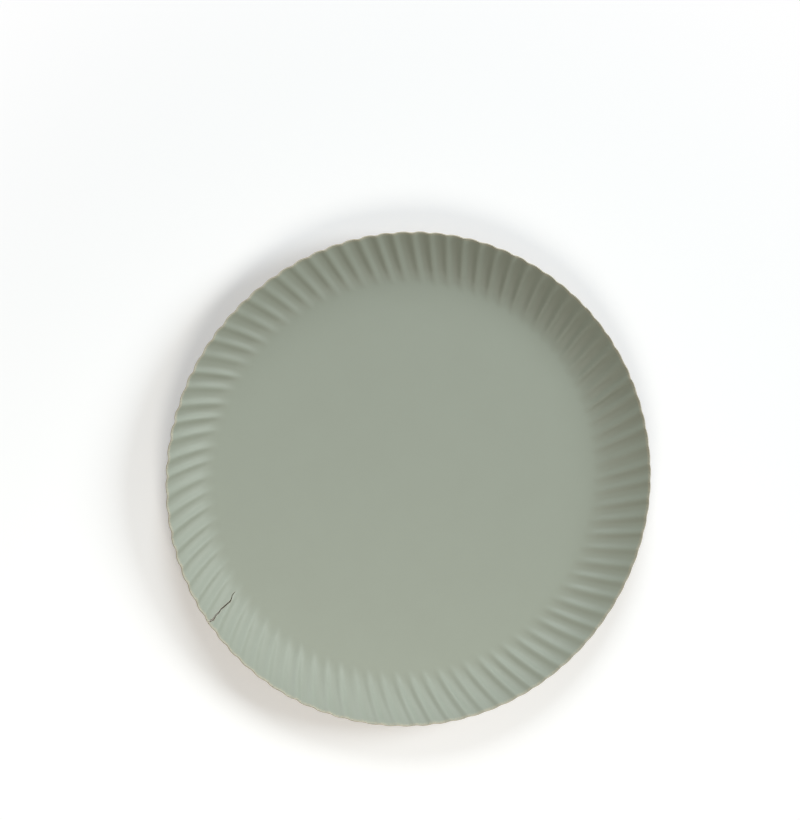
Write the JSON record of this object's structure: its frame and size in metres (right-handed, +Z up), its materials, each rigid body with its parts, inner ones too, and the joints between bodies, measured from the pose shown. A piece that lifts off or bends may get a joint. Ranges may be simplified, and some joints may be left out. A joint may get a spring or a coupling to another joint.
{
  "type": "paper plate",
  "caption": "Round shallow paper plate: flat base, low flaring wall pressed into slanted flutes that run out to a wavy rim, with one tear in the rim.",
  "frame": {"origin": "centre of the flat base, on the surface that the plate stands on", "axes": "+Z up along the plate's axis, towards the eating side; +X and +Y lie in the base, and the tear in the rim points to 214 degrees from +X"},
  "size_m": [0.281, 0.281, 0.018],
  "materials": {
    "coated_board": "white coated eating side with a soft sheen, plain brown board on the underside and at the cut edge"
  },
  "bodies": {
    "root": {"plate": "coated_board"}
  },
  "joints": []
}
